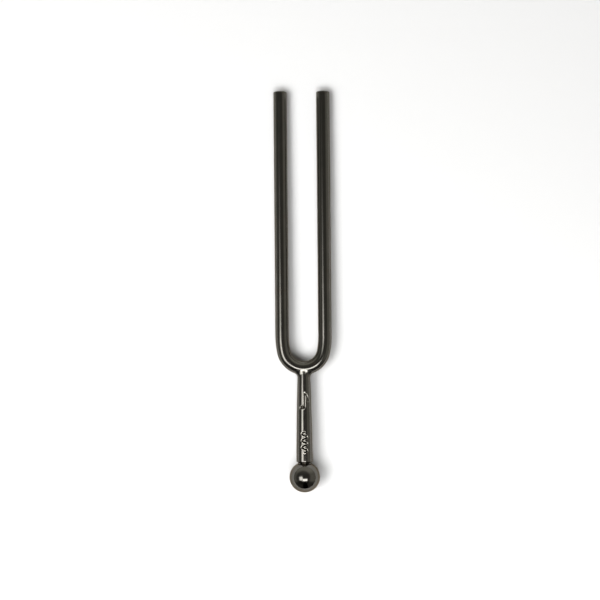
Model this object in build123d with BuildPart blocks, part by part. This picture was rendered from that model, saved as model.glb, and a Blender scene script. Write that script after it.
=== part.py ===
from build123d import *

import os
from math import acos, asin, degrees, radians, sin, sqrt, tan

# A ball-ended tuning fork, tuned to 440 Hz: a round bar bent into a U, whose two legs are the tines,
# a tapered stem brazed under the bend, the braze that joins them, and a ball pressed on the stem.
#
# The fork lies flat, as it rests on a table. X runs across the tines, Y along them towards their tips,
# and Z up out of the fork's plane. Its pieces are drawn from the lowest point of the bend, and moved at
# the end so that the origin is under the middle of the fork's length. Z is 0 at the ball's lowest point.
# Millimetres.

# ---------------------------------------------------------------- driving dimensions
# tine bar
bar_diameter = 3.6
tine_spacing = 11.5  # between the two tines' axes
tine_length = 74.25  # from the tips to the lowest point of the bend's centreline: it sets the pitch
bend_inset = 0.3  # how far the bend's centreline radius falls short of half the tine spacing
lead_in_radius = 23.5  # centreline, where each tine leans in to meet the bend
tip_round = 0.25

# stem
stem_length = 23.3  # from the underside of the bar to the shoulder
stem_top_inset = 0.15  # each side, inside the bar's width, where its taper would reach the bar's axis
stem_middle_diameter = 4.0  # half way, where the taper becomes gentler
stem_end_diameter = 4.4
stem_end_round = 0.25
neck_inset = 0.275  # each side, inside the stem's end
neck_length = 0.4
spigot_diameter = 2.4
spigot_length = 4.6
spigot_chamfer = 0.3

# ball
ball_diameter = 8.2
bore_end_clearance = 0.4
drill_point_angle = 118.0

# braze
braze_gap = 0.1
braze_radius = 1.35
braze_clearance = 0.002  # between the braze's curved faces and those that it wets, so that none overlap

# marks pressed into the upper side of the stem: an eighth note, and a sound wave below it
mark_depth = 0.12
mark_stroke = 0.26
note_to_shoulder = 16.3  # from the shoulder to the middle of the note
note_height = 4.1
note_offset = -0.4  # across the stem, from its axis to the middle of the note's head
note_head_length = 1.3
note_head_thickness = 0.9
note_head_tilt = 25.0
note_flag_reach = 0.9
note_flag_drop = 2.0
wave_to_shoulder = 5.4  # from the shoulder to the middle of the wave
wave_pitch = 1.8  # length of one wave, along the stem
wave_turns = 3
wave_height = 2.7  # crest to crest, across the stem
wave_crest_radius = 0.32

# ---------------------------------------------------------------- worked out from them
bar_radius = bar_diameter / 2
tine_offset = tine_spacing / 2
bend_radius = tine_offset - bend_inset
ball_radius = ball_diameter / 2
stem_end_radius = stem_end_diameter / 2
neck_radius = stem_end_radius - neck_inset
spigot_radius = spigot_diameter / 2
seat_height = sqrt(ball_radius**2 - neck_radius**2)  # flat on the ball, above its centre
seat_latitude = degrees(asin(seat_height / ball_radius))

# the lead-in arcs turn just far enough for the bend to be tangent to both
lead_in_angle = degrees(acos((lead_in_radius - tine_offset) / (lead_in_radius - bend_radius)))
lead_in_depth = (lead_in_radius - bend_radius) * sin(radians(lead_in_angle))
bend_depth = lead_in_depth + bend_radius  # from the tines' straight ends to the bend's lowest point

bend_y = 0.0  # the lowest point of the bend's centreline
tip_y = bend_y + tine_length
shoulder_y = bend_y - bar_radius - stem_length
seat_y = shoulder_y - neck_length
ball_y = seat_y - seat_height
foot_y = ball_y - ball_radius
bore_end_y = seat_y - spigot_length - bore_end_clearance
drill_point_height = spigot_radius / tan(radians(drill_point_angle / 2))
axis_height = ball_radius
to_middle = Pos(0, -(tip_y + foot_y) / 2, 0)

fork_plane = Plane.XY.offset(axis_height)
fork_axis = Axis((0, 0, axis_height), (0, 1, 0))


# ---------------------------------------------------------------- tine bar
def bent_bar(radius):
    """A round bar of that radius along the fork's U: tine, lead-in, bend, lead-in, tine."""
    with BuildPart() as bar:
        with BuildLine(fork_plane):
            right_tine = Line((tine_offset, tip_y), (tine_offset, bend_y + bend_depth))
            right_lead = JernArc(right_tine @ 1, right_tine % 1, lead_in_radius, -lead_in_angle)
            bend = JernArc(right_lead @ 1, right_lead % 1, bend_radius, 2 * lead_in_angle - 180)
            left_lead = JernArc(bend @ 1, bend % 1, lead_in_radius, -lead_in_angle)
            Line(left_lead @ 1, (-tine_offset, tip_y))
        with BuildSketch(Plane(origin=right_tine @ 0, z_dir=right_tine % 0)):
            Circle(radius)
        sweep()
    return bar.part


with BuildPart() as tine_bar:
    add(bent_bar(bar_radius))
    fillet(tine_bar.faces().filter_by(GeomType.PLANE).edges(), radius=tip_round)
tine_bar.part.label = "tine_bar"


# ---------------------------------------------------------------- stem
def stem_blank(inset=0.0):
    """The turned stem before it is fitted to the bar and marked, its taper inset by that much."""
    top_radius = bar_radius - stem_top_inset - inset
    middle_radius = stem_middle_diameter / 2 - inset
    end_radius = stem_end_radius - inset
    middle_y = (shoulder_y + bend_y) / 2
    with BuildPart() as blank:
        with BuildSketch(fork_plane) as profile:
            with BuildLine():
                Polyline(
                    (0, shoulder_y),
                    (end_radius, shoulder_y),
                    (middle_radius, middle_y),
                    (top_radius, bend_y),
                    (0, bend_y),
                    close=True,
                )
            make_face()
            shoulder_corner = profile.vertices().group_by(Axis.Y)[0].sort_by(Axis.X)[-1]
            fillet(shoulder_corner, radius=stem_end_round)
        revolve(axis=fork_axis)
    return blank.part


def spigot():
    """The neck under the shoulder, and the spigot that the ball is pressed on."""
    with BuildPart() as turned:
        with BuildSketch(Plane(origin=(0, shoulder_y, axis_height), z_dir=(0, -1, 0))):
            Circle(neck_radius)
        extrude(amount=neck_length)
        with BuildSketch(Plane(origin=(0, seat_y, axis_height), z_dir=(0, -1, 0))):
            Circle(spigot_radius)
        extrude(amount=spigot_length)
        chamfer(turned.edges().sort_by(Axis.Y)[0], length=spigot_chamfer)
    return turned.part


def note_outline():
    """An eighth note that reads upright with the tines up: its head, its staff and its flag."""
    foot = shoulder_y + note_to_shoulder - note_height / 2
    head_middle = foot + note_head_thickness / 2
    staff_x = note_offset + (note_head_length - mark_stroke) / 2
    with BuildSketch(fork_plane) as note:
        with Locations((note_offset, head_middle)):
            Ellipse(note_head_length / 2, note_head_thickness / 2, rotation=note_head_tilt)
        with BuildLine():
            staff = Line((staff_x, head_middle), (staff_x, foot + note_height))
            flag_tip = staff @ 1 + Vector(note_flag_reach, -note_flag_drop)
            TangentArc(flag_tip, staff @ 1, tangent=(0, 1))
        trace(line_width=mark_stroke)
    return note.sketch


def wave_outline():
    """A run of even, round-crested waves along the stem."""
    start = shoulder_y + wave_to_shoulder - wave_turns * wave_pitch / 2
    corners = [(0, start)]
    for half in range(2 * wave_turns):
        side = 1 if half % 2 == 0 else -1
        corners.append((side * wave_height / 2, start + (half + 0.5) * wave_pitch / 2))
    corners.append((0, start + wave_turns * wave_pitch))
    with BuildSketch(fork_plane) as wave:
        with BuildLine():
            FilletPolyline(*corners, radius=wave_crest_radius)
        trace(line_width=mark_stroke)
    return wave.sketch


def pressed_marks():
    """The two marks as cutters that reach mark_depth below the upper side of the stem."""
    with BuildPart() as cutters:
        extrude(note_outline(), amount=stem_end_diameter)
        extrude(wave_outline(), amount=stem_end_diameter)
        add(stem_blank(inset=mark_depth), mode=Mode.SUBTRACT)
    return cutters.part


def coped_blank(inset=0.0):
    """The stem blank, cut to saddle the bar with the braze's gap between them."""
    with BuildPart() as coped:
        add(stem_blank(inset))
        add(bent_bar(bar_radius + braze_gap), mode=Mode.SUBTRACT)
    return coped.part


with BuildPart() as stem:
    add(coped_blank())
    add(spigot())
    add(pressed_marks(), mode=Mode.SUBTRACT)
stem.part.label = "stem"


# ---------------------------------------------------------------- braze
# it fills the thin gap between the bar and the stem's coped end, and the hollow fillet round them
with BuildPart() as braze:
    add(tine_bar.part)
    add(stem_blank())
    seam = braze.edges(Select.NEW).filter_by(GeomType.LINE, reverse=True)
    fillet(seam, radius=braze_radius)
    add(bent_bar(bar_radius + braze_clearance), mode=Mode.SUBTRACT)
    add(coped_blank(inset=-braze_clearance), mode=Mode.SUBTRACT)
braze.part.label = "braze"


# ---------------------------------------------------------------- ball
with BuildPart() as ball:
    with BuildSketch(fork_plane):
        with BuildLine():
            outside = CenterArc((0, ball_y), ball_radius, -90, 90 + seat_latitude)
            Polyline(
                outside @ 1,
                (spigot_radius, seat_y),
                (spigot_radius, bore_end_y),
                (0, bore_end_y - drill_point_height),
                outside @ 0,
            )
        make_face()
    revolve(axis=fork_axis)
ball.part.label = "ball"


# ---------------------------------------------------------------- move to the middle, and write each piece
tine_bar.part.move(to_middle)
stem.part.move(to_middle)
braze.part.move(to_middle)
ball.part.move(to_middle)

os.makedirs("parts", exist_ok=True)
export_step(tine_bar.part, "parts/tine_bar.step")
export_step(stem.part, "parts/stem.step")
export_step(braze.part, "parts/braze.step")
export_step(ball.part, "parts/ball.step")
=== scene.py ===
from math import acos, asin, atan, cos, hypot, pi, radians, sin, sqrt, tan

import bmesh
import bpy
from mathutils import Matrix, Vector


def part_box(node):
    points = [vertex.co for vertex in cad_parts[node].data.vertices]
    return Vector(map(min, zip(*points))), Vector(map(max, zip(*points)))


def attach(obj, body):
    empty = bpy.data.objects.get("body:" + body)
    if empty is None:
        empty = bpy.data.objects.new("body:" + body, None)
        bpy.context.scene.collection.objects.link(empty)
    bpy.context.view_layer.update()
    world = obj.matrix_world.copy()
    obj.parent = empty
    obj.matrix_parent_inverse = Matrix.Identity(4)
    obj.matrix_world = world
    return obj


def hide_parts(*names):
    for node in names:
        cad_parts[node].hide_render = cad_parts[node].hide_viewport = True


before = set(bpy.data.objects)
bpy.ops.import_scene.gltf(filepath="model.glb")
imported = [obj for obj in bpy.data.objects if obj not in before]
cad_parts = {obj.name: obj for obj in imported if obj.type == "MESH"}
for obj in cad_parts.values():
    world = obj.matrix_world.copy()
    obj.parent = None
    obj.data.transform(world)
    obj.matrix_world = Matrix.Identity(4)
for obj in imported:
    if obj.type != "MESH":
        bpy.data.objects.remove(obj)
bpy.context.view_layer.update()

# The look of a ball-ended tuning fork in dark nickel plate, lying on a white table.
# Metres. X runs across the tines, Y along them towards their tips, Z up, as in the frame.

MM = 0.001

# ---------------------------------------------------------------- sizes taken from the frame
bar_low, bar_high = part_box("tine_bar")
ball_low, ball_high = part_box("ball")
stem_low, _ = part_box("stem")

bar_radius = (bar_high.z - bar_low.z) / 2
axis_height = (bar_high.z + bar_low.z) / 2
tine_offset = bar_high.x - bar_radius
tip_y = bar_high.y
bend_y = bar_low.y + bar_radius  # the lowest point of the bend's centreline
ball_radius = (ball_high.x - ball_low.x) / 2
ball_y = ball_low.y + ball_radius
seat_y = ball_high.y
spigot_end_y = stem_low.y

# ---------------------------------------------------------------- sizes that the boxes don't give
bend_radius = 5.45 * MM
lead_in_radius = 23.5 * MM
tip_round = 0.25 * MM
stem_top_radius = 1.65 * MM  # where the taper would reach the bar's axis
stem_middle_radius = 2.0 * MM
stem_end_radius = 2.2 * MM
stem_end_round = 0.25 * MM
neck_radius = 1.925 * MM
neck_length = 0.4 * MM
neck_groove = 0.22 * MM  # depth of the groove turned in the neck
spigot_radius = 1.2 * MM
spigot_chamfer = 0.3 * MM
bore_end_clearance = 0.4 * MM
drill_point_angle = radians(118)
braze_radius = 1.35 * MM
shoulder_y = seat_y + neck_length

# marks pressed into the upper side of the stem
mark_depth = 0.10 * MM
mark_stroke = 0.26 * MM
mark_wall = 0.27 * MM  # width of a stroke's sloping sides
burr_height = 0.03 * MM
burr_gap = 0.17 * MM  # from a stroke's edge to the crest of its burr
burr_width = 0.09 * MM  # from the crest to either foot
note_y = shoulder_y + 16.3 * MM
note_height = 4.1 * MM
note_offset = -0.4 * MM  # across the stem, to the middle of the note's head
note_head_length = 1.3 * MM
note_head_thickness = 0.9 * MM
note_head_tilt = radians(25)
note_flag_reach = 0.9 * MM
note_flag_drop = 2.0 * MM
wave_y = shoulder_y + 5.4 * MM
wave_pitch = 1.8 * MM
wave_turns = 3
wave_height = 2.7 * MM
wave_crest_radius = 0.32 * MM

# ---------------------------------------------------------------- worked out from them
lead_in_angle = acos((lead_in_radius - tine_offset) / (lead_in_radius - bend_radius))
bend_middle_y = bend_y + bend_radius
straight_y = bend_middle_y + (lead_in_radius - bend_radius) * sin(lead_in_angle)


# ---------------------------------------------------------------- small helpers
def on_axis(x, y, z):
    """A point given from the fork's axis, which runs along Y at axis_height."""
    return Vector((x, y, z + axis_height))


def make_piece(name, bm, material, node):
    """Turns a bmesh into a smooth-shaded piece that stands for that CAD node."""
    bmesh.ops.recalc_face_normals(bm, faces=bm.faces)
    mesh = bpy.data.meshes.new(name)
    bm.to_mesh(mesh)
    bm.free()
    for face in mesh.polygons:
        face.use_smooth = True
    mesh.materials.append(material)
    piece = bpy.data.objects.new(name, mesh)
    bpy.context.scene.collection.objects.link(piece)
    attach(piece, "root")
    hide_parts(node)


def arc_points(middle, radius, start, end, steps):
    """Points along an arc in the XY plane, start and end in radians."""
    turns = [start + (end - start) * i / steps for i in range(steps + 1)]
    return [(middle[0] + radius * cos(turn), middle[1] + radius * sin(turn)) for turn in turns]


def lathe(profile, segments):
    """Turns a profile of (radius, y) round the fork's axis into a closed skin."""
    bm = bmesh.new()
    verts = [bm.verts.new(on_axis(r, y, 0)) for r, y in profile]
    edges = [bm.edges.new(pair) for pair in zip(verts, verts[1:])]
    bmesh.ops.spin(
        bm, geom=verts + edges, cent=on_axis(0, 0, 0), axis=(0, 1, 0), angle=2 * pi,
        steps=segments, use_merge=True, use_duplicate=False,
    )
    bmesh.ops.remove_doubles(bm, verts=bm.verts, dist=0.0005 * MM)
    return bm


class Nodes:
    """An emptied node tree, with short calls for the nodes that the finishes and lamps use."""

    def __init__(self, owner):
        owner.use_nodes = True
        self.tree = owner.node_tree
        self.tree.nodes.clear()

    def add(self, kind, **settings):
        node = self.tree.nodes.new(kind)
        for key, value in settings.items():
            setattr(node, key, value)
        return node

    def put(self, socket, value):
        """Links a socket to another, or sets its constant."""
        if isinstance(value, bpy.types.NodeSocket):
            self.tree.links.new(value, socket)
        else:
            socket.default_value = value

    def split(self, vector):
        """The X, Y and Z of a vector."""
        node = self.add("ShaderNodeSeparateXYZ")
        self.put(node.inputs[0], vector)
        return node.outputs[0], node.outputs[1], node.outputs[2]

    def place(self, scale=(1, 1, 1), attribute=None):
        """The place on the piece, or the one that an attribute gives, scaled."""
        if attribute:
            source = self.add("ShaderNodeAttribute", attribute_name=attribute).outputs["Vector"]
        else:
            source = self.add("ShaderNodeTexCoord").outputs["Object"]
        mapping = self.add("ShaderNodeMapping")
        self.put(mapping.inputs["Vector"], source)
        self.put(mapping.inputs["Scale"], scale)
        return mapping.outputs["Vector"]

    def noise(self, vector, scale, detail, roughness, distortion=0.0):
        node = self.add("ShaderNodeTexNoise")
        self.put(node.inputs["Vector"], vector)
        self.put(node.inputs["Scale"], scale)
        self.put(node.inputs["Detail"], detail)
        self.put(node.inputs["Roughness"], roughness)
        self.put(node.inputs["Distortion"], distortion)
        return node.outputs["Fac"]

    def spread(self, value, low, high, out_low=0.0, out_high=1.0, smooth=False):
        """Takes low..high to out_low..out_high and holds still beyond them."""
        kind = "SMOOTHSTEP" if smooth else "LINEAR"
        node = self.add("ShaderNodeMapRange", clamp=True, interpolation_type=kind)
        self.put(node.inputs["Value"], value)
        limits = {"From Min": low, "From Max": high, "To Min": out_low, "To Max": out_high}
        for socket, number in limits.items():
            self.put(node.inputs[socket], number)
        return node.outputs["Result"]

    def math(self, operation, a, b=0.0):
        node = self.add("ShaderNodeMath", operation=operation)
        self.put(node.inputs[0], a)
        self.put(node.inputs[1], b)
        return node.outputs[0]

    def blend(self, fac, a, b):
        node = self.add("ShaderNodeMix", data_type="RGBA")
        self.put(node.inputs["Factor"], fac)
        self.put(node.inputs["A"], a)
        self.put(node.inputs["B"], b)
        return node.outputs["Result"]

    def bump(self, height, distance, strength=1.0, over=None):
        """Raises that height, on top of another bump's normal if one is given."""
        node = self.add("ShaderNodeBump")
        self.put(node.inputs["Height"], height)
        self.put(node.inputs["Distance"], distance)
        self.put(node.inputs["Strength"], strength)
        if over:
            self.put(node.inputs["Normal"], over)
        return node.outputs["Normal"]


# ---------------------------------------------------------------- finishes
def joint_patch(n, ragged):
    """1 on a patch at the joint, on the top and underneath, and 0 beyond its ragged edge."""
    flatten = 1.55  # the patch is wider than it is long
    patch_y = bend_y - 0.90 * MM
    from_joint = n.add("ShaderNodeVectorMath", operation="MULTIPLY_ADD")
    n.put(from_joint.inputs[0], n.add("ShaderNodeTexCoord").outputs["Object"])
    n.put(from_joint.inputs[1], (1, flatten, 0))
    n.put(from_joint.inputs[2], (0, -flatten * patch_y, 0))
    away = n.add("ShaderNodeVectorMath", operation="LENGTH")
    n.put(away.inputs[0], from_joint.outputs[0])
    edge = n.math("ADD", away.outputs["Value"], n.math("MULTIPLY", ragged, 0.3 * MM))
    return n.spread(edge, 1.05 * MM, 1.45 * MM, 1, 0)


def dark_nickel(name, attribute=None, lay=(1, 1, 1), smooth=0.09, dull=0.145, ripple=0.5,
                ripple_scale=330, marks=None):
    """Polished dark nickel plate: warm olive grey, faint polishing lines, specks and stains, with
    painted shade in pressed strokes, painted highlights on their burrs and a painted highlight at the
    joint.

    smooth and dull are the ends of its roughness, and lay squeezes the polishing lines along the
    way it was polished. attribute gives the place on a bent piece. marks gives where it is pressed.
    """
    material = bpy.data.materials.new(name)
    n = Nodes(material)
    here = n.place(attribute=attribute)
    along = n.place(lay, attribute=attribute)

    olive = (0.112, 0.110, 0.098, 1)
    warm = (0.130, 0.123, 0.112, 1)
    brown = (0.108, 0.084, 0.066, 1)
    stroke_shade = (0.022, 0.020, 0.016, 1)
    burr_highlight = (0.42, 0.40, 0.36, 1)
    joint_glint = (0.175, 0.168, 0.152, 1)

    tone = n.spread(n.noise(here, 260, 4, 0.6), 0.35, 0.65)
    stain = n.spread(n.noise(here, 420, 5, 0.65, 0.8), 0.58, 0.72)
    lines = n.noise(along, 5200, 2, 0.5)
    fine = n.noise(here, 9000, 2, 0.5)
    waviness = n.noise(here, ripple_scale, 1, 0.4)
    pebbles = n.noise(here, 2600, 2, 0.5)
    pebbly = joint_patch(n, fine)  # pebbly where the hot braze ran out, and lightened there as a painted highlight

    colour = n.blend(n.math("MULTIPLY", stain, 0.65), n.blend(tone, olive, warm), brown)
    if marks:
        # painted shade darkens the pressed strokes, and a painted highlight brightens their burrs
        pressed = n.add("ShaderNodeAttribute", attribute_name=marks).outputs["Fac"]
        colour = n.blend(n.spread(pressed, 0.15, 0.8), colour, stroke_shade)
        colour = n.blend(n.spread(pressed, -0.1, -0.9), colour, burr_highlight)
    # painted highlight: a lighter colour over the joint's patch
    colour = n.blend(pebbly, colour, joint_glint)

    polish = n.spread(lines, 0.4, 0.75, smooth, dull)
    rough = n.math("ADD", polish, n.spread(stain, 0, 1, 0, 0.08))
    rough = n.math("ADD", rough, n.math("MULTIPLY", pebbly, 0.04))

    grain = n.math("ADD", n.math("MULTIPLY", lines, 0.35), n.math("MULTIPLY", fine, 0.15))
    surface = n.bump(grain, 0.004 * MM, 0.12)
    surface = n.bump(waviness, 0.012 * MM, ripple, over=surface)
    surface = n.bump(pebbles, 0.018 * MM, pebbly, over=surface)

    shader = n.add("ShaderNodeBsdfPrincipled")
    n.put(shader.inputs["Metallic"], 1.0)
    n.put(shader.inputs["Specular Tint"], (0.50, 0.44, 0.37, 1))  # darker and browner at its edges
    n.put(shader.inputs["Base Color"], colour)
    n.put(shader.inputs["Roughness"], rough)
    n.put(shader.inputs["Normal"], surface)
    n.put(n.add("ShaderNodeOutputMaterial").inputs["Surface"], shader.outputs["BSDF"])
    return material


def table_white():
    """The plain white table top."""
    material = bpy.data.materials.new("table_white")
    n = Nodes(material)
    shader = n.add("ShaderNodeBsdfPrincipled")
    n.put(shader.inputs["Base Color"], (0.50, 0.50, 0.50, 1))
    n.put(shader.inputs["Roughness"], 0.9)
    n.put(shader.inputs["Specular IOR Level"], 0.1)
    n.put(n.add("ShaderNodeOutputMaterial").inputs["Surface"], shader.outputs["BSDF"])
    return material


bar_plate = dark_nickel(
    "dark_nickel_bar", attribute="lay", lay=(1, 1, 0.02), smooth=0.13, dull=0.20,
)
turned_plate = dark_nickel(
    "dark_nickel_turned", lay=(0.05, 1, 0.05), smooth=0.11, dull=0.18, marks="pressed",
)
ball_plate = dark_nickel("dark_nickel_ball")
braze_plate = dark_nickel(
    "dark_nickel_braze", smooth=0.10, dull=0.17, ripple=0.7, ripple_scale=1500,
)


# ---------------------------------------------------------------- tine bar
BAR_SEGMENTS = 96
TINE_STEPS = 24
LEAD_IN_STEPS = 10
BEND_STEPS = 72


def make_tine_bar():
    """The bar, bent up from a ring: tine, lead-in, bend, lead-in, tine, with rounded tips."""
    bm = bmesh.new()
    lay = bm.verts.layers.float_vector.new("lay")  # the place across the bar, and along it
    upright = Matrix.Translation(on_axis(tine_offset, tip_y, 0)) @ Matrix.Rotation(pi / 2, 4, "X")
    bmesh.ops.create_circle(bm, segments=BAR_SEGMENTS, radius=bar_radius, matrix=upright)
    for v in bm.verts:
        v[lay] = (v.co.x - tine_offset, v.co.z - axis_height, 0)

    def grow(ring, step, steps, length):
        """Extrudes the ring again and again, and moves each new ring by the same step."""
        for _ in range(steps):
            made = bmesh.ops.extrude_edge_only(bm, edges=ring)["geom"]
            new = {g for g in made if isinstance(g, bmesh.types.BMVert)}
            bmesh.ops.transform(bm, matrix=step, verts=list(new))
            for v in new:
                old = next(e.other_vert(v) for e in v.link_edges if e.other_vert(v) not in new)
                v[lay] = old[lay] + Vector((0, 0, length / steps))
            edges = [g for g in made if isinstance(g, bmesh.types.BMEdge)]
            ring = [e for e in edges if e.verts[0] in new and e.verts[1] in new]
        return ring

    def run(ring, reach):
        """A straight tine, along Y."""
        step = Matrix.Translation((0, reach / TINE_STEPS, 0))
        return grow(ring, step, TINE_STEPS, abs(reach))

    def turn(ring, x, y, radius, angle, steps):
        """An arc of that radius about (x, y), clockwise as seen from above."""
        middle = Matrix.Translation(on_axis(x, y, 0))
        step = middle @ Matrix.Rotation(-angle / steps, 4, "Z") @ middle.inverted()
        return grow(ring, step, steps, radius * angle)

    tine_run = tip_y - straight_y
    lead_x = tine_offset - lead_in_radius
    first_tip = list(bm.edges)
    ring = run(first_tip, -tine_run)
    ring = turn(ring, lead_x, straight_y, lead_in_radius, lead_in_angle, LEAD_IN_STEPS)
    ring = turn(ring, 0, bend_middle_y, bend_radius, pi - 2 * lead_in_angle, BEND_STEPS)
    ring = turn(ring, -lead_x, straight_y, lead_in_radius, lead_in_angle, LEAD_IN_STEPS)
    tips = first_tip + run(ring, tine_run)
    bmesh.ops.holes_fill(bm, edges=tips, sides=0)
    bmesh.ops.bevel(
        bm, geom=tips, offset=tip_round, offset_type="OFFSET", segments=5, profile=0.5,
        affect="EDGES", clamp_overlap=True, material=-1,
    )
    make_piece("tine_bar_plated", bm, bar_plate, "tine_bar")


# ---------------------------------------------------------------- stem
STEM_SEGMENTS = 256
SHOULDER_STEPS = 6
STEM_STEP = 0.4 * MM
MARKED_STEP = 0.065 * MM
NOTE_REACH = 2.5 * MM  # either side of note_y
WAVE_REACH = 3.2 * MM  # either side of wave_y
MARKED_ABOVE = 0.5 * MM  # from the stem's axis, so that only its upper side is marked
NECK_FLARE = ((0.04, 0.08), (0.12, 0.14), (0.27, 0.18))  # out and down from the seat, in mm
FLARE_END = 0.2 * MM
GROOVE_LAND = 0.01 * MM  # the narrow flats above the groove and at its bottom
stem_top_y = bend_y - 0.9 * MM  # inside the bar, where its end is hidden


def rounded(corners, radius, steps=6):
    """The path through those corners, each rounded to that radius."""
    path = [corners[0]]
    for before, corner, after in zip(corners, corners[1:], corners[2:]):
        back, on = (before - corner).normalized(), (after - corner).normalized()
        half = back.angle(on) / 2
        reach = radius / tan(half)
        middle = corner + (back + on).normalized() * (radius / sin(half))
        start, end = corner + back * reach - middle, corner + on * reach - middle
        path += [middle + start.lerp(end, i / steps).normalized() * radius for i in range(steps + 1)]
    return path + [corners[-1]]


def note_strokes(head):
    """The note's staff, which stands on the head's right end, and its flag, a curl down from it."""
    foot_y = note_y - note_height / 2
    staff_x = head.x + (note_head_length - mark_stroke) / 2
    top = Vector((staff_x, foot_y + note_height))
    curl = [radians(a) for a in range(0, 91, 10)]
    flag = [top + Vector((note_flag_reach * sin(a) ** 1.3, note_flag_drop * (cos(a) - 1))) for a in curl]
    return [Vector((staff_x, head.y)), top], flag


def wave_stroke():
    """A run of even, round-crested waves along the stem."""
    start = wave_y - wave_turns * wave_pitch / 2
    corners = [Vector((0, start))]
    for half in range(2 * wave_turns):
        side = 1 if half % 2 == 0 else -1
        corners.append(Vector((side * wave_height / 2, start + (half + 0.5) * wave_pitch / 2)))
    corners.append(Vector((0, start + wave_turns * wave_pitch)))
    return rounded(corners, wave_crest_radius)


def distance_to_path(point, path):
    """How far a point is from a path of straight runs."""
    nearest = 1.0
    for a, b in zip(path, path[1:]):
        run = b - a
        share = max(0.0, min(1.0, (point - a).dot(run) / run.dot(run)))
        nearest = min(nearest, (point - a - run * share).length)
    return nearest


def distance_to_head(point, head):
    """Roughly how far a point is outside the note's tilted oval head, less than zero inside it."""
    x, y = point - head
    across = x * cos(note_head_tilt) + y * sin(note_head_tilt)
    up = y * cos(note_head_tilt) - x * sin(note_head_tilt)
    mean_radius = 0.52 * MM
    return (hypot(across * 2 / note_head_length, up * 2 / note_head_thickness) - 1) * mean_radius


def is_marked(y):
    """Whether either mark reaches that far along the stem."""
    return abs(y - note_y) < NOTE_REACH or abs(y - wave_y) < WAVE_REACH


def press_marks(bm):
    """Presses the marks into the upper side, with sloping sides and a slight burr along them."""
    head = Vector((note_offset, note_y - note_height / 2 + note_head_thickness / 2))
    staff, flag = note_strokes(head)
    wave = wave_stroke()
    pressed = bm.verts.layers.float.new("pressed")  # 1 at the bottom of a stroke, -1 on its burr
    for v in bm.verts:
        x, y, height = v.co.x, v.co.y, v.co.z - axis_height
        if height <= MARKED_ABOVE or not is_marked(y):
            continue
        point = Vector((x, y))
        if abs(y - note_y) < NOTE_REACH:
            gap = min(distance_to_path(point, staff), distance_to_path(point, flag)) - mark_stroke / 2
            gap = min(gap, distance_to_head(point, head))
        else:
            gap = distance_to_path(point, wave) - mark_stroke / 2
        share = max(0.0, min(1.0, 0.5 - gap / mark_wall))
        down = share * share * (3 - 2 * share)
        burr = max(0.0, 1 - abs(gap - burr_gap) / burr_width)
        inwards = Vector((x, 0, height)).normalized()
        v.co -= inwards * (down * mark_depth - burr * burr_height)
        v[pressed] = down - burr


def stem_radius(y):
    """The stem's radius at y: an even crown through its top, middle and end radii."""
    share = (bend_y - y) / (bend_y - shoulder_y)
    crown = 4 * (stem_middle_radius - (stem_top_radius + stem_end_radius) / 2)
    taper = stem_top_radius + (stem_end_radius - stem_top_radius) * share
    return taper + crown * share * (1 - share)


def make_stem():
    """The turned stem: taper, rounded shoulder, grooved neck that flares on the ball, and spigot."""
    low = shoulder_y + stem_end_round
    stations = [stem_top_y]
    while stations[-1] > low:
        step = MARKED_STEP if is_marked(stations[-1]) else STEM_STEP
        stations.append(max(low, stations[-1] - step))
    round_middle = (stem_radius(low) - stem_end_round, low)
    shoulder = arc_points(round_middle, stem_end_round, 0, -pi / 2, SHOULDER_STEPS)[1:]
    groove_radius = neck_radius - neck_groove
    groove_y = shoulder_y - neck_length / 2
    taper = [(0, stem_top_y)] + [(stem_radius(y), y) for y in stations]
    neck = [
        (neck_radius, shoulder_y - GROOVE_LAND),
        (groove_radius, groove_y + GROOVE_LAND),
        (groove_radius, groove_y - GROOVE_LAND),
        (neck_radius, seat_y),
    ]
    flare = [(neck_radius + out * MM, seat_y - down * MM) for out, down in NECK_FLARE]
    spigot = [
        (spigot_radius, seat_y - FLARE_END),
        (spigot_radius, spigot_end_y + spigot_chamfer),
        (spigot_radius - spigot_chamfer, spigot_end_y),
        (0, spigot_end_y),
    ]
    bm = lathe(taper + shoulder + neck + flare + spigot, STEM_SEGMENTS)
    press_marks(bm)
    make_piece("stem_plated", bm, turned_plate, "stem")


# ---------------------------------------------------------------- braze
BRAZE_STATIONS = 96
BRAZE_STEPS = 14
BRAZE_SPREAD = 2.65 * MM  # more radius on the top and underneath, where the braze spreads
SEAM_DROP = 1.45 * MM  # from bend_y to the seam, on the top and underneath
SIDE_SEAM_DROP = 1.25 * MM  # and this much more at the sides
SUNK_IN_BAR = 0.12 * MM
SUNK_IN_STEM = 0.9  # the back's share of the stem's radius


def braze_section(turn):
    """The closed section at one station round the stem: the hollow, and a back sunk in the metal.

    The hollow follows a ball rolled along the seam between stem and bar.
    """
    hollow = braze_radius + BRAZE_SPREAD * sin(turn) ** 2
    stem_r = stem_radius(bend_y - SEAM_DROP - SIDE_SEAM_DROP * cos(turn) ** 2)
    x, z = (stem_r + hollow) * cos(turn), (stem_r + hollow) * sin(turn)
    reach = bend_radius + sqrt((bar_radius + hollow) ** 2 - z * z)
    bend_middle = Vector((0, bend_middle_y, 0))
    ball = Vector((x, bend_middle_y - sqrt(reach * reach - x * x), z))
    on_bar = bend_middle + Vector((x, ball.y - bend_middle_y, 0)) * (bend_radius / reach)
    to_stem = Vector((-cos(turn), 0, -sin(turn)))
    to_bar = (on_bar - ball).normalized()
    swept = to_stem.angle(to_bar)
    section = []
    for k in range(BRAZE_STEPS + 1):
        share = k / BRAZE_STEPS
        way = to_stem * sin((1 - share) * swept) + to_bar * sin(share * swept)
        section.append(ball + way * (hollow / sin(swept)))
    stem_side, bar_side = section[0], section[-1] + to_bar * SUNK_IN_BAR
    for y in (bar_side.y, stem_side.y):
        section.append(Vector((stem_side.x * SUNK_IN_STEM, y, stem_side.z * SUNK_IN_STEM)))
    return section


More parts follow.
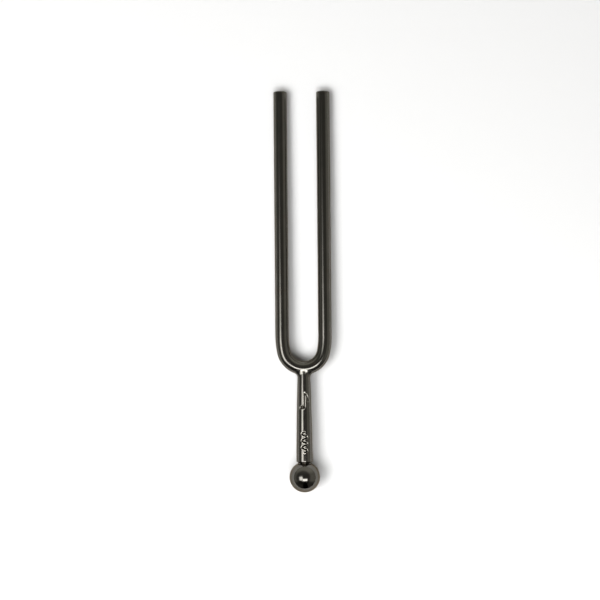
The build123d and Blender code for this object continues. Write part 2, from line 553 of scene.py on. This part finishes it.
def make_braze():
    """The hollow fillet round the stem's top."""
    bm = bmesh.new()
    rings = []
    for i in range(BRAZE_STATIONS):
        section = braze_section(2 * pi * i / BRAZE_STATIONS)
        rings.append([bm.verts.new(on_axis(*point)) for point in section])
    for a, b in zip(rings, rings[1:] + rings[:1]):
        for k in range(len(a)):
            j = (k + 1) % len(a)
            bm.faces.new((a[k], a[j], b[j], b[k]))
    make_piece("braze_plated", bm, braze_plate, "braze")


# ---------------------------------------------------------------- ball
BALL_SEGMENTS = 128
BALL_STEPS = 96


def make_ball():
    """The ball, with its seat and its drilled bore."""
    seat_latitude = asin((seat_y - ball_y) / ball_radius)
    bore_end = spigot_end_y - bore_end_clearance
    profile = arc_points((0, ball_y), ball_radius, -pi / 2, seat_latitude, BALL_STEPS) + [
        (spigot_radius, seat_y),
        (spigot_radius, bore_end),
        (0, bore_end - spigot_radius / tan(drill_point_angle / 2)),
    ]
    bm = lathe(profile, BALL_SEGMENTS)
    make_piece("ball_plated", bm, ball_plate, "ball")


make_tine_bar()
make_stem()
make_braze()
make_ball()

# ---------------------------------------------------------------- table
# the fork rests on its ball and its two tips, so the table leans a little under it
lean = (ball_radius - bar_radius) / (tip_y - ball_y)
for _ in range(3):
    lean = (ball_radius * sqrt(1 + lean**2) - bar_radius) / (tip_y - tip_round - ball_y)
table_turn = Matrix.Rotation(atan(lean), 4, "X")
table_point = on_axis(0, tip_y - tip_round, -bar_radius)

table = bpy.data.objects.new("table", bpy.data.meshes.new("table"))
table_grid = bmesh.new()
bmesh.ops.create_grid(table_grid, x_segments=1, y_segments=1, size=3.0)
table_grid.to_mesh(table.data)
table_grid.free()
table.data.transform(Matrix.Translation(table_point) @ table_turn)
table.data.materials.append(table_white())
bpy.context.scene.collection.objects.link(table)

# ---------------------------------------------------------------- camera
VIEW_WIDTH = 160.9 * MM  # at the fork
CAMERA_DISTANCE = 400 * MM
CAMERA_ROLL = radians(-0.50)
SENSOR_WIDTH = 36
view_middle = on_axis(-0.855 * MM, -2.26 * MM, 0)
studio = Matrix.Translation(view_middle) @ table_turn  # X right, Y up the view, Z to the camera

camera_data = bpy.data.cameras.new("camera")
camera_data.sensor_width = SENSOR_WIDTH
camera_data.lens = SENSOR_WIDTH * CAMERA_DISTANCE / VIEW_WIDTH
camera_data.clip_start = 0.01
camera = bpy.data.objects.new("camera", camera_data)
bpy.context.scene.collection.objects.link(camera)
overhead = Matrix.Translation((0, 0, CAMERA_DISTANCE)) @ Matrix.Rotation(CAMERA_ROLL, 4, "Z")
camera.matrix_world = studio @ overhead
bpy.context.scene.camera = camera

# ---------------------------------------------------------------- lamps
LAMP_HEIGHT = 340 * MM


def softbox(name, edges, radiance, fades, tail=1, away=1, turn=0, height=LAMP_HEIGHT):
    """A flat lamp that faces down over the table.

    edges are its left, right, low and high edge in the studio's X and Y, and fades are the shares
    of it that fade out towards each. A tail above 1 draws out the high one. away puts it that many
    times as far off, and makes it as much larger. turn is in degrees.
    """
    left, right, low, high = edges
    data = bpy.data.lights.new(name, "AREA")
    data.shape = "RECTANGLE"
    data.size, data.size_y = (right - left) * away, (high - low) * away
    data.energy = radiance * pi * data.size * data.size_y
    n = Nodes(data)
    across, along, _ = n.split(n.add("ShaderNodeNewGeometry").outputs["Parametric"])
    fade_left, fade_right, fade_low, fade_high = fades
    strength = n.spread(across, 0, fade_left, smooth=True)
    strength = n.math("MULTIPLY", strength, n.spread(across, 1, 1 - fade_right, smooth=True))
    strength = n.math("MULTIPLY", strength, n.spread(along, 0, fade_low, smooth=True))
    if tail > 1:
        far_end = n.math("POWER", n.spread(along, 1, 1 - fade_high), tail)
    else:
        far_end = n.spread(along, 1, 1 - fade_high, smooth=True)
    strength = n.math("MULTIPLY", strength, far_end)
    emission = n.add("ShaderNodeEmission")
    n.put(emission.inputs["Strength"], strength)
    n.put(n.add("ShaderNodeOutputLight").inputs["Surface"], emission.outputs["Emission"])
    lamp = bpy.data.objects.new(name, data)
    bpy.context.scene.collection.objects.link(lamp)
    middle = Vector(((left + right) / 2, (low + high) / 2, height)) * away
    lamp.matrix_world = studio @ Matrix.Translation(middle) @ Matrix.Rotation(radians(turn), 4, "Z")
    lamp.visible_camera = False
    return lamp


softbox(
    "side_softbox", edges=(-0.375, -0.108, -0.198, 0.315), radiance=5.46,
    fades=(0.55, 0.05, 0.06, 0.66), tail=11, turn=7,
)
softbox(
    "front_softbox", edges=(-0.125, 0.136, -0.203, -0.072), radiance=8.05,
    fades=(0.02, 0.12, 0.11, 0.28),
)
# two larger lamps behind them brighten the table, and a small one in front fills the shadow
# beside the stem; none of the three shows in the polish
near_fill = softbox(
    "near_fill", edges=(0.03, 0.13, -0.20, -0.10), radiance=6.0,
    fades=(0.3, 0.3, 0.3, 0.3), height=120 * MM,
)
side_silk = softbox(
    "side_silk", edges=(-0.43, -0.10, -0.30, 0.10), radiance=12.9,
    fades=(0.3, 0.1, 0.1, 0.3), away=4,
)
front_silk = softbox(
    "front_silk", edges=(-0.10, 0.126, -0.30, -0.13), radiance=8.0,
    fades=(0.02, 0.3, 0.1, 0.2), away=4,
)
for lamp in (near_fill, side_silk, front_silk):
    lamp.visible_glossy = False

# ---------------------------------------------------------------- room
ROOM_ON_TABLE = 0.6  # how much of the room's light reaches the table


def studio_room():
    """Pale walls round a dark ceiling, darker on the side where someone stands."""
    world = bpy.data.worlds.new("studio")
    n = Nodes(world)
    x, y, z = n.split(n.add("ShaderNodeTexCoord").outputs["Generated"])

    def sum_of(a, b, times):
        return n.math("ADD", a, n.math("MULTIPLY", b, times))

    ceiling_to_walls = n.spread(sum_of(z, x, -0.22), 0.73, 0.47, 0.16, 0.42, smooth=True)
    right_wall = n.spread(x, 0.3, 0.8, 1.0, 1.2, smooth=True)
    near_wall = n.spread(y, -0.30, -0.62, 1.0, 0.24, smooth=True)
    far_wall = n.spread(y, 0.35, 0.8, 1.0, 1.9, smooth=True)
    beside = n.math("ABSOLUTE", sum_of(x, y, 0.08))
    someone = n.spread(sum_of(beside, y, 0.30), -0.06, 0.06, smooth=True)
    ray = n.add("ShaderNodeLightPath")
    brightness = n.spread(ray.outputs["Is Glossy Ray"], 0.0, 1.0, ROOM_ON_TABLE, 1.0)
    for share in (ceiling_to_walls, right_wall, near_wall, far_wall, someone):
        brightness = n.math("MULTIPLY", brightness, share)

    room = n.add("ShaderNodeBackground")
    n.put(room.inputs["Color"], (1.0, 0.975, 0.88, 1))
    n.put(room.inputs["Strength"], brightness)
    backdrop = n.add("ShaderNodeBackground")
    n.put(backdrop.inputs["Color"], (1, 1, 1, 1))
    seen = n.add("ShaderNodeMixShader")
    n.put(seen.inputs[0], ray.outputs["Is Camera Ray"])
    n.put(seen.inputs[1], room.outputs[0])
    n.put(seen.inputs[2], backdrop.outputs[0])
    n.put(n.add("ShaderNodeOutputWorld").inputs["Surface"], seen.outputs[0])
    bpy.context.scene.world = world


studio_room()
bpy.context.scene.view_settings.view_transform = "Standard"
bpy.context.scene.view_settings.look = "None"
